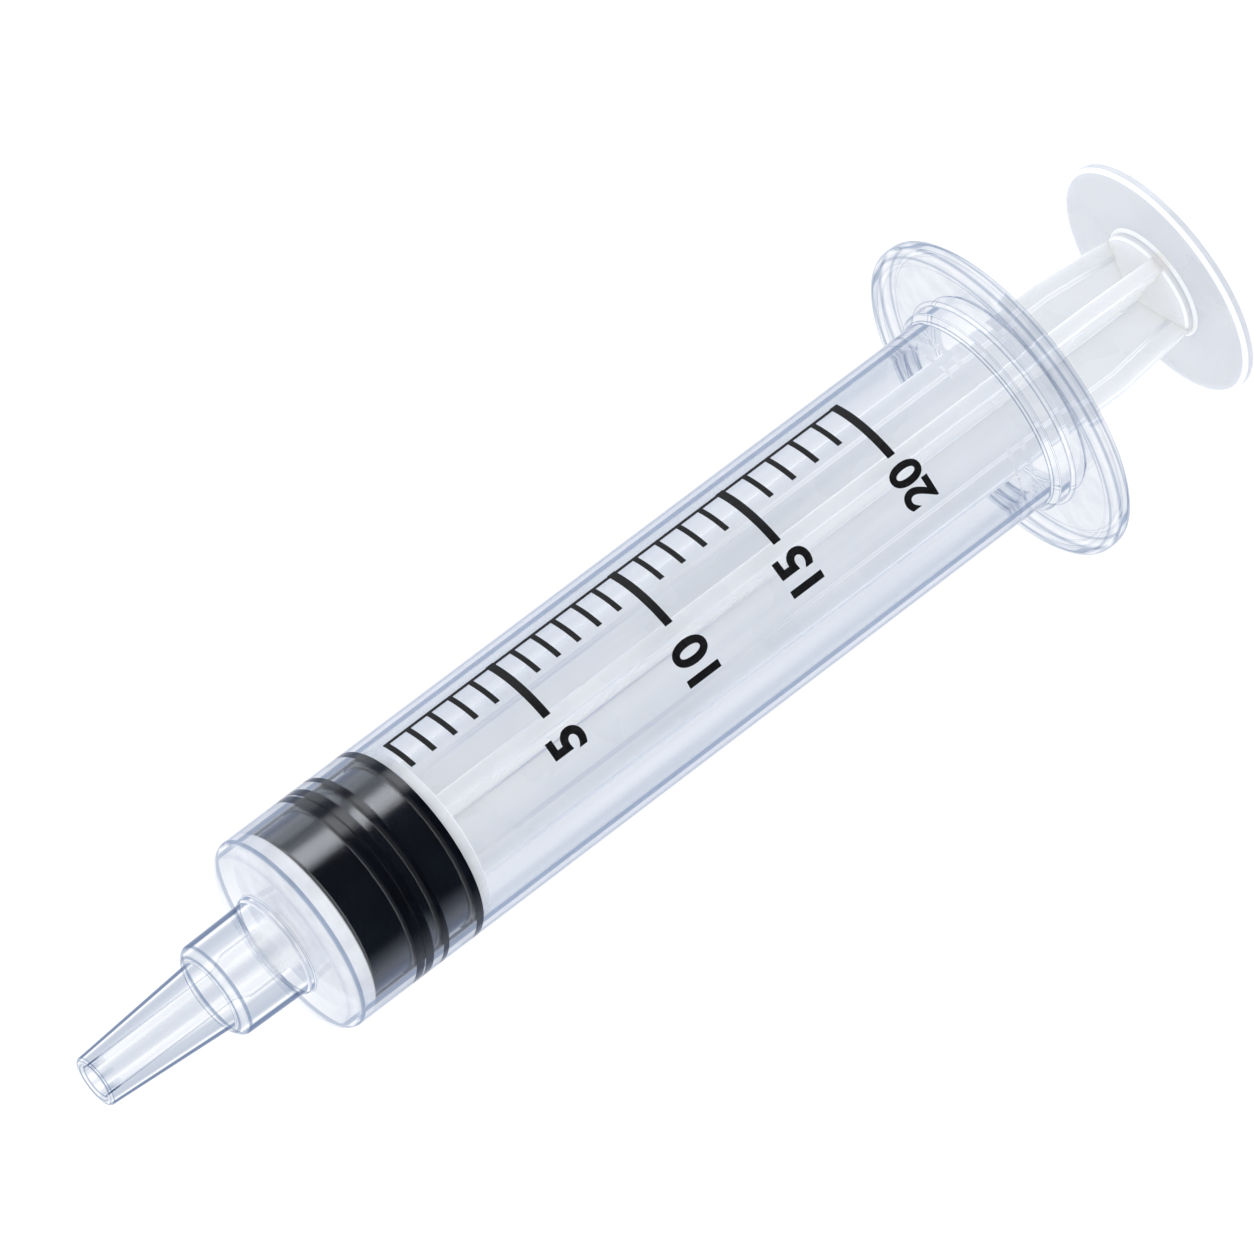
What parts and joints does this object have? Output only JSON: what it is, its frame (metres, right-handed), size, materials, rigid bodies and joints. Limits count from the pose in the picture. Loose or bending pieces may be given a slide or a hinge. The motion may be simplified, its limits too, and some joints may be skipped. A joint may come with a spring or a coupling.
{
  "type": "irrigation syringe",
  "caption": "Clear plastic syringe with a tapered tip, round finger flange, ribbed black rubber stopper and a milky plunger rod with a round thumb plate.",
  "frame": {"origin": "middle of the thumb plate's outer face, on the surface that the syringe stands on", "axes": "+Z along the syringe's axis towards the tip, -Y towards the side where the scale's long marks end"},
  "size_m": [0.0378, 0.0378, 0.1428],
  "materials": {
    "clear_barrel": "clear polished polypropylene",
    "milky_rod": "translucent milky polypropylene, satin gloss",
    "black_rubber": "smooth black rubber, lightly oiled",
    "black_ink": "opaque black printing ink"
  },
  "bodies": {
    "plunger": {"plunger_rod": "milky_rod"},
    "seal": {"stopper": "black_rubber"},
    "tube": {"barrel": "clear_barrel", "scale_print": "black_ink"}
  },
  "joints": [
    {"name": "rod_twist", "type": "hinge", "parent": "plunger", "child": "seal", "pos_m": [0, 0, 0.1011], "axis": [0, 0, 1], "continuous": true},
    {"name": "plunger_slide", "type": "slide", "parent": "seal", "child": "tube", "axis": [0, 0, 1], "range_m": [-0.00135, 0.0718]}
  ]
}
